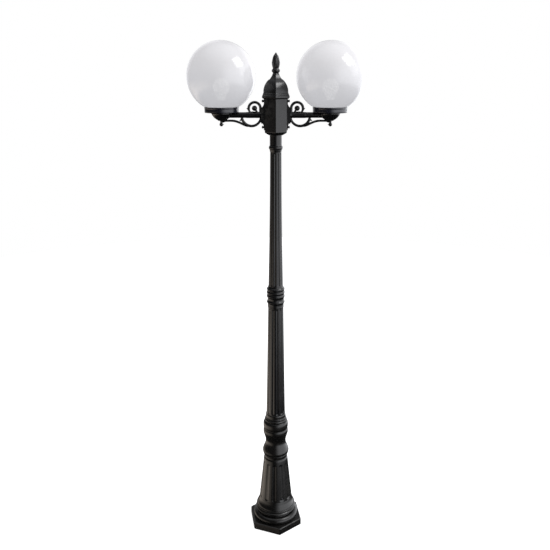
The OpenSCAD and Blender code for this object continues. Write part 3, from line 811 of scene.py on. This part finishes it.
def arm(side):
    """One casting: a screwed plate, a flared pad, the bar and the ridged cup."""
    s = MIRROR[side]
    angle = 0 if s > 0 else math.pi
    face = BRACKET_FACE
    parts = []
    plate = bmesh.new()
    foot_z, top_z = BOX_Z + PLATE_FOOT, BOX_Z + PLATE_TOP
    slab(plate, [(BOX_R, foot_z), (face, foot_z), (face, top_z), (BOX_R, top_z)], -19, 19, s)
    parts.append(new_object(f"arm_casting_{side}", plate))
    pad = bmesh.new()
    edge = curve([(face + x, z) for x, z in (
        (-1, -41), (-1, -41), (0.6, -40), (1.6, -36), (4, -31), (8, -26), (9.5, -19), (9.5, 19),
        (8, 25), (4.4, 30), (2, 34), (0.6, 38), (-1, 39), (-1, 39))], 4)
    slab(pad, [(x, ARM_Z + z) for x, z in edge], -12, 12, s)
    parts.append(new_object("pad", pad))
    bar = bmesh.new()
    outline = curve([
        (0, face - 1), (0, face - 1), (11.8, face - 1), (11.8, face - 1), (11.8, face + 9),
        (11.2, face + 12), (10.8, face + 16), (10.6, face + 30), (10.7, face + 58),
        (10.4, face + 64), (10, face + 70),
        (10, ARM_X - 26), (10, ARM_X - 26), (0, ARM_X - 26), (0, ARM_X - 26)], 4)
    lathe(bar, outline, 64, closed=False)
    turned_about(bar, (0, 0, ARM_Z), Matrix.Rotation(s * math.pi / 2, 4, "Y"))
    parts.append(new_object("bar", bar))
    cup = bmesh.new()
    seat = CUP_TOP - ARM_Z
    outline = [(0, -20.5)]
    outline += curve([
        (6, -20.5), (12.4, -20.2), (14.4, -19), (14.4, -19), (15.6, -17.8), (15.6, -17.8),
        (20.6, -15), (25.4, -11.4), (25.4, -11.4), (26.6, -10.8), (26.6, -10.8), (30, -7.2),
        (32.8, -3), (32.8, -3), (33.8, -2.4), (33.8, -2.4), (35.6, 0.6), (36.8, 4), (36.8, 4),
        (38, 4.6), (38, seat), (38, seat)], 4)
    outline += [(15.4, seat), (15.4, -4), (0, -4)]
    lathe(cup, raised(outline, ARM_Z), 96, closed=False, at=(s * ARM_X, 0))
    parts.append(new_object("cup", cup))
    made = parts.pop(0)
    combine(made, parts, "UNION")
    holes = [new_object("way", ray_cylinder(4.5, BOX_R - 2, ARM_X - 14, angle, ARM_Z))]
    for z in BRACKET_ROWS:
        holes.append(new_object("hole", ray_cylinder(3.2, BOX_R - 2, face + 4, angle, BOX_Z + z)))
    combine(made, holes, "DIFFERENCE")
    finish_piece(made, CAST, "post", "cast_coat", [f"arm_{side}"], sharp=34, bevel=0.7)


def tapered(count, *stations):
    """Half widths at equal steps, blended between (share, width) stations."""
    out = []
    for k in range(count):
        t = k / (count - 1)
        for (t0, w0), (t1, w1) in zip(stations, stations[1:]):
            if t0 <= t <= t1 + 1e-9:
                u = (t - t0) / (t1 - t0)
                u = u * u * (3 - 2 * u)
                out.append(w0 + (w1 - w0) * u)
                break
    return out


def ball(x, z, r, tall, side):
    """A ball, tall times as high as it is wide."""
    outline = [(r * math.cos(a), z + r * tall * math.sin(a))
               for a in (math.radians(-90 + 9 * k) for k in range(21))]
    outline[0], outline[-1] = (0, outline[0][1]), (0, outline[-1][1])
    bm = bmesh.new()
    lathe(bm, outline, 40, closed=False, at=(side * x, 0))
    return new_object("part", bm)


def scroll(name, node_name, parts):
    """Joins the parts of a scroll into one casting."""
    made = parts.pop(0)
    combine(made, parts, "UNION")
    made.name = name
    finish_piece(made, CAST, "post", "cast_coat", [node_name], sharp=60)


def upper_scroll(side):
    """A hoop that springs from the pad, ends in a leaf, and curls about a ball on a stem."""
    s = MIRROR[side]
    x, z, r = 76.5, ARM_Z + 23.5, 21.2
    top = ARM_Z + 9.0
    hoop = [(x - r - 0.4, top - 1), (x - r, z - 8)] + bend(x, z, r, 180, -40, 34)
    hoop_widths = tapered(len(hoop), (0, 5.2), (0.15, 4.9), (0.5, 4.7), (0.8, 4.9), (1, 3.6))
    leaf = [(x + r - 2.2, z - 8), (x + r + 1.2, z - 4), (x + r + 4.4, z - 1.2),
            (x + r + 8, z + 0.2)]
    stem = [(x - 3.0, z - 3), (x - 5.4, z - 7), (x - 6.6, z - 11), (x - 8.5, top - 0.5)]
    hill = [(x - r, top - 0.6), (x - 12, top + 0.4), (x, top + 0.9), (x + 10, top + 1.2),
            (x + r - 1, top)]
    scroll(f"scroll_upper_{side}", f"upper_scroll_{side}", [
        sweep(hoop, hoop_widths, 1.15, s),
        sweep(leaf, [3.8, 3.5, 2.3, 0.6], 1.1, s),
        ball(x + 0.2, z + 0.2, 9.8, 0.97, s),
        sweep(stem, [3.6, 3.6, 4.0, 5.0], 1.1, s),
        sweep(hill, [1.8, 2.6, 2.4, 2.6, 1.6], 1.5, s),
    ])


def lower_scroll(side):
    """A half moon under the bar, a small barb, and an S-shaped rod out to a drop under the cup."""
    s = MIRROR[side]
    x, z, r = 88, ARM_Z - 4, 35.0
    low = z - r
    rod_z = ARM_Z - 20.5
    drop_x = ARM_X + 3
    moon = bend(x, z, r, 188, 352, 40)
    moon_widths = tapered(len(moon), (0, 4.8), (0.15, 4.6), (0.5, 4.7), (0.8, 5.1), (1, 4.8))
    wave = curve([(x + 2, low + 0.3), (x + 14, low + 0.8), (x + 27, low + 5), (x + 40, low + 10.8),
                  (x + 54, low + 16), (x + 70, low + 18.8), (drop_x - 10, rod_z),
                  (drop_x, rod_z)], 5)
    wave_widths = tapered(len(wave), (0, 2.2), (0.2, 4.5), (0.6, 4.1), (1, 3.6))
    barb = [(x + r - 3, ARM_Z - 12.5), (x + r + 1.5, ARM_Z - 16.5), (x + r + 5, ARM_Z - 18.6),
            (x + r + 8.5, ARM_Z - 20)]
    heel = [(x - r - 1, z - 1), (x - r + 0.4, z - 9), (x - r + 0.4, z - 18), (x - r - 3, z - 27)]
    stem = curve([(drop_x, rod_z + h) for h in (5, -2, -8, -13)], 3)
    stem_widths = tapered(len(stem), (0, 5.0), (0.4, 3.8), (0.7, 3.5), (1, 4.0))
    tip = [(drop_x - 3, rod_z - 12.6), (drop_x - 7, rod_z - 12.2), (drop_x - 10, rod_z - 12.8)]
    web = [(drop_x - 18, rod_z - 0.6), (drop_x - 10, rod_z - 2.6), (drop_x - 2, rod_z - 5)]
    scroll(f"scroll_lower_{side}", f"lower_scroll_{side}", [
        sweep(moon, moon_widths, 1.15, s),
        sweep(wave, wave_widths, 1.1, s),
        sweep(barb, [3.9, 3.7, 2.6, 0.7], 1.1, s),
        sweep(heel, [4.4, 4.8, 3.9, 1.0], 1.1, s),
        sweep(stem, stem_widths, 1.0, s),
        ball(drop_x - 0.6, rod_z - 13, 6.8, 1.0, s),
        sweep(tip, [3.0, 1.8, 0.5], 1.0, s),
        sweep(web, [2.0, 3.0, 2.6], 1.0, s),
    ])


def bracket_screws(side):
    """An arm's two screws and their nuts; the upper nut bears on an ear of the cap's strap."""
    s = MIRROR[side]
    heads = []
    lay = Matrix.Rotation(s * math.pi / 2, 4, "Y")
    ear = 3.1
    tall = 5
    corners = [math.radians(60 * i + 30) for i in range(6)]
    for k, (z, packing) in enumerate(zip(BRACKET_ROWS, (0, ear))):
        place = (s * BRACKET_FACE, 0, BOX_Z + z)
        heads.append(set_screw("screw", 5.2, 8, 3, BRACKET_FACE - 26, place, lay, 0.5 + k, True))
        inner = BOX_APOTHEM - BOX_WALL - packing
        nut = bmesh.new()
        loft(nut, [[(r * math.cos(a), r * math.sin(a), h) for a in corners]
                   for r, h in ((5.77, 0), (5.77, tall), (3.05, tall), (3.05, 0))])
        turned_about(nut, (s * (inner - tall), 0, BOX_Z + z), lay)
        heads.append(new_object("nut", nut))
    made = join(f"bracket_fixings_{side}", heads)
    finish_piece(made, BLACK_STEEL, "post", "black_steel", [f"bracket_screws_{side}"])


# ---------- lamps ----------

def collar(side):
    """A shallow dish with a turned-out lip, tapped for three set screws."""
    s = MIRROR[side]
    h = COLLAR_H
    outline = curve([
        (15.4, 0), (15.4, 0), (58, 0), (60.2, 0.7), (61.6, 2.2), (62, 4.4), (61.9, h - 6.5),
        (61.9, h - 6.5), (62.3, h - 5.1), (62.6, h - 3.4), (62.5, h - 1.2), (61.4, h),
        (60.2, h - 0.2), (59, h - 1.6), (58.5, h - 4), (58.5, h - 4), (58.5, 5), (56.5, 3),
        (56.5, 3), (15.4, 3), (15.4, 3)], 4)
    bm = bmesh.new()
    lathe(bm, raised(outline[:-1], CUP_TOP), at=(s * ARM_X, 0))
    made = new_object(f"collar_{side}_dish", bm)
    lugs, holes = [], []
    lug_z = CUP_TOP + 10.5
    for a in SET_SCREWS:
        angle = math.radians(a if s > 0 else 180 - a)
        lugs.append(new_object("lug", ray_cylinder(4.5, 52.5, 60, angle, lug_z, (s * ARM_X, 0))))
        holes.append(new_object("tap", ray_cylinder(2.55, 50, 66, angle, lug_z, (s * ARM_X, 0))))
    for y in (-28, 28):
        way = cylinder(2.2, CUP_TOP - 2, CUP_TOP + 5, 24, (s * ARM_X, y))
        holes.append(new_object("screw_way", way))
    combine(made, lugs, "UNION")
    combine(made, holes, "DIFFERENCE")
    finish_piece(made, MOULDING, "post", "moulding", [f"collar_{side}"], sharp=34)


def globe(side):
    """A blown sphere with a shoulder and a short neck that stands in the collar."""
    s = MIRROR[side]
    wall = 2.5
    neck, bore, edge = 51.5, 48.5, 64.6
    foot_z = low_z(f"globe_{side}") - GLOBE_Z
    shoulder = -math.sqrt(GLOBE_R ** 2 - edge ** 2)
    angle = math.degrees(math.asin((shoulder + 1.5) / GLOBE_R))
    inner_angle = math.degrees(math.asin((shoulder + wall) / (GLOBE_R - wall)))
    outline = [(bore + 0.4, foot_z), (neck - 0.4, foot_z), (neck, foot_z + 0.4),
               (neck, shoulder - 2)]
    outline += curve([(neck + 0.4, shoulder - 0.8), (neck + 2, shoulder - 0.1), (57, shoulder),
                      (edge - 3, shoulder)], 3)
    outline += arc(0, 0, GLOBE_R, angle, 90, 70)
    outline += arc(0, 0, GLOBE_R - wall, 90, inner_angle, 60)
    outline += [(bore + 2, shoulder + wall), (bore + 0.6, shoulder + wall - 1), (bore, shoulder),
                (bore, foot_z + 0.4)]
    outline = [(0, z) if r < 1e-3 else (r, z) for r, z in outline]
    bm = bmesh.new()
    lathe(bm, raised(outline, GLOBE_Z), at=(s * ARM_X, 0))
    piece(f"opal_globe_{side}", bm, OPAL, f"{side}_globe", "opal", [f"globe_{side}"],
          sharp=50, weighted=False)


def bulb(side):
    """A frosted bulb on a pressed cap with a rolled thread."""
    s = MIRROR[side]
    base = low_z(f"bulb_{side}")
    top = high_z(f"bulb_{side}") - base
    r, wall = 30.0, 1.2
    centre = top - r
    outline = [(13 - wall, 0), (13, 0)]
    outline += curve([(13, 1.5), (14, 5), (17.5, centre - 30), (23, centre - 20)], 4)
    outline += arc(0, centre, r, -38, 90, 30)
    outline += arc(0, centre, r - wall, 90, -38, 24)
    outline += curve([(23 - wall, centre - 20), (17.5 - wall, centre - 30), (14 - wall, 5),
                      (13 - wall, 1.5)], 4)
    outline = [(0, z) if k < 1e-3 else (k, z) for k, z in outline]
    bm = bmesh.new()
    lathe(bm, raised(outline, base), 96, at=(s * ARM_X, 0))
    piece(f"lamp_bulb_{side}", bm, FROSTED, f"{side}_bulb", "bulb_glass", [f"bulb_{side}"],
          sharp=50, weighted=False)
    foot_z = low_z(f"bulb_cap_{side}")
    length = high_z(f"bulb_cap_{side}") - foot_z
    pitch = 3.6

    def thread(a, k, z):
        h = z - foot_z
        if not 5 < h < length - 2 or k < 12:
            return k
        return k - 0.5 + 0.5 * math.cos(2 * math.pi * (h / pitch - a / (2 * math.pi)))
    outline = [(0, 0), (4, 0), (4.5, 0.5), (4.5, 2), (8, 2.2), (12.4, 4.6), (13.1, 5.2)]
    outline += [(13.1, 5.2 + 0.45 * k) for k in range(1, int((length - 6) / 0.45))]
    outline += [(13.1, length - 0.3), (12.8, length), (0, length)]
    bm = bmesh.new()
    lathe(bm, raised(outline, foot_z), 72, closed=False, shape=thread, at=(s * ARM_X, 0))
    piece(f"lamp_cap_{side}", bm, CAP_METAL, f"{side}_bulb", "cap_metal", [f"bulb_cap_{side}"],
          sharp=50, weighted=False)


foot()
bell()
bell_screws()
coupler()
shaft("lower_column", "lower_shaft", [(0, 38.2), (0.3, 35.5), (0.7, 32.2), (1, 30)], LOWER_Z, MID_Z,
      math.radians(26), 2.0, CAST)
mid_coupling()
shaft("upper_column", "upper_shaft", [(0, 28.2), (0.18, 26.2), (0.4, 24), (0.7, 21.9), (1, 20.8)],
      UPPER_Z, NECK_Z, FOOT_TURN, 1.8, CAST)
neck()
head_box()
cap()
finial()
for side in MIRROR:
    arm(side)
    upper_scroll(side)
    lower_scroll(side)
    bracket_screws(side)
    collar(side)
    globe(side)
    bulb(side)


# ---------- stage, light and camera ----------

def soft_light(name, place, target, width, height, power):
    """A rectangular area light that faces its target."""
    data = bpy.data.lights.new(name, "AREA")
    data.shape = "RECTANGLE"
    data.size, data.size_y = width, height
    data.energy = power
    light = bpy.data.objects.new(name, data)
    light.location = place
    light.rotation_mode = "QUATERNION"
    light.rotation_quaternion = (Vector(target) - Vector(place)).to_track_quat("-Z", "Y")
    bpy.context.scene.collection.objects.link(light)


def stage():
    """A pale floor the gloss doesn't mirror, and a white surround that reflects like a studio."""
    bm = bmesh.new()
    bmesh.ops.create_circle(bm, cap_ends=True, radius=5000, segments=128)
    floor = new_object("floor", bm)
    material, tree, surface = blank("floor", Roughness=0.9, Specular_IOR_Level=0.1,
                                    Emission_Color=(1, 1, 1, 1), Emission_Strength=0.7)
    tone = mixed(tree, between(tree, noise(tree, 3, 2), 0.3, 0.7), (0.88, 0.88, 0.88),
                 (0.91, 0.91, 0.91))
    tree.links.new(tone, surface.inputs["Base Color"])
    floor.data.materials.append(material)
    floor.visible_glossy = False
    floor.visible_diffuse = False
    world = bpy.data.worlds.new("surround")
    bpy.context.scene.world = world
    world.use_nodes = True
    world.cycles.sampling_method = "NONE"
    tree = world.node_tree
    tree.nodes.clear()
    way = node(tree, "SeparateXYZ", {0: node(tree, "TexCoord").outputs["Generated"]}).outputs
    # What the gloss mirrors: a bright right side, a warm low left, a rim behind and a pale top
    band = maths(tree, "MULTIPLY", between(tree, way["Z"], -0.43, -0.25),
                 between(tree, way["Z"], 0.65, 0.25, 0.3, 1.0))
    right = maths(tree, "MULTIPLY", between(tree, way["X"], 0.0, 0.5, 0.0, 2.1), band)
    low = maths(tree, "MULTIPLY", between(tree, way["Z"], -0.1, -0.45),
                between(tree, way["Z"], -0.62, -0.52))
    left = maths(tree, "MULTIPLY", between(tree, way["X"], -0.35, -0.8, 0.0, 1.5), low)
    rim = maths(tree, "MULTIPLY", between(tree, way["Y"], 0.55, 0.9, 0.0, 0.8),
                maths(tree, "MULTIPLY", between(tree, way["X"], 0.1, -0.2),
                      between(tree, way["Z"], -0.25, -0.05)))
    top = between(tree, way["Z"], 0.7, 1.0, 0.02, 0.8)
    bright = maths(tree, "ADD", maths(tree, "ADD", right, rim), top)
    cool = node(tree, "Background", {"Color": (0.96, 0.97, 1.0, 1), "Strength": bright})
    warm = node(tree, "Background", {"Color": (1.0, 0.88, 0.76, 1), "Strength": left})
    studio = node(tree, "AddShader", {0: cool.outputs[0], 1: warm.outputs[0]})
    fill = node(tree, "Background", {"Color": (0.97, 0.98, 1.0, 1),
                                     "Strength": between(tree, way["Z"], -0.5, 0.2, 0.15, 0.6)})
    seen = node(tree, "Background", {"Color": (1, 1, 1, 1), "Strength": 1.0})
    path = node(tree, "LightPath").outputs
    mirrored = node(tree, "MixShader", {0: path["Is Glossy Ray"], 1: fill.outputs[0],
                                        2: studio.outputs[0]})
    whole = node(tree, "MixShader", {0: path["Is Camera Ray"], 1: mirrored.outputs[0],
                                     2: seen.outputs[0]})
    tree.links.new(whole.outputs[0], node(tree, "OutputWorld").inputs["Surface"])


stage()
soft_light("right_panel", (2.2, -0.3, 2.5), (0, 0, 1.3), 1.1, 1.3, 6)
soft_light("key", (2.05, -0.5, 3.6), (0, 0, 1.2), 1.4, 1.3, 44)
soft_light("left_back", (-1.9, 1.6, 2.9), (0, 0, 1.7), 1.2, 2.0, 12)
# It only fills the shade: in the gloss it would show as a hard strip.
bpy.data.objects["left_back"].visible_glossy = False

camera = bpy.data.objects.new("camera", bpy.data.cameras.new("camera"))
bpy.context.scene.collection.objects.link(camera)
camera.location = (-0.003, -2.466, 1.8943)
camera.rotation_euler = (math.radians(90 - 17.5), 0, 0)
camera.data.lens = 43.57
camera.data.sensor_width = 36
bpy.context.scene.camera = camera
bpy.context.scene.view_settings.view_transform = "Standard"
bpy.context.scene.view_settings.look = "None"
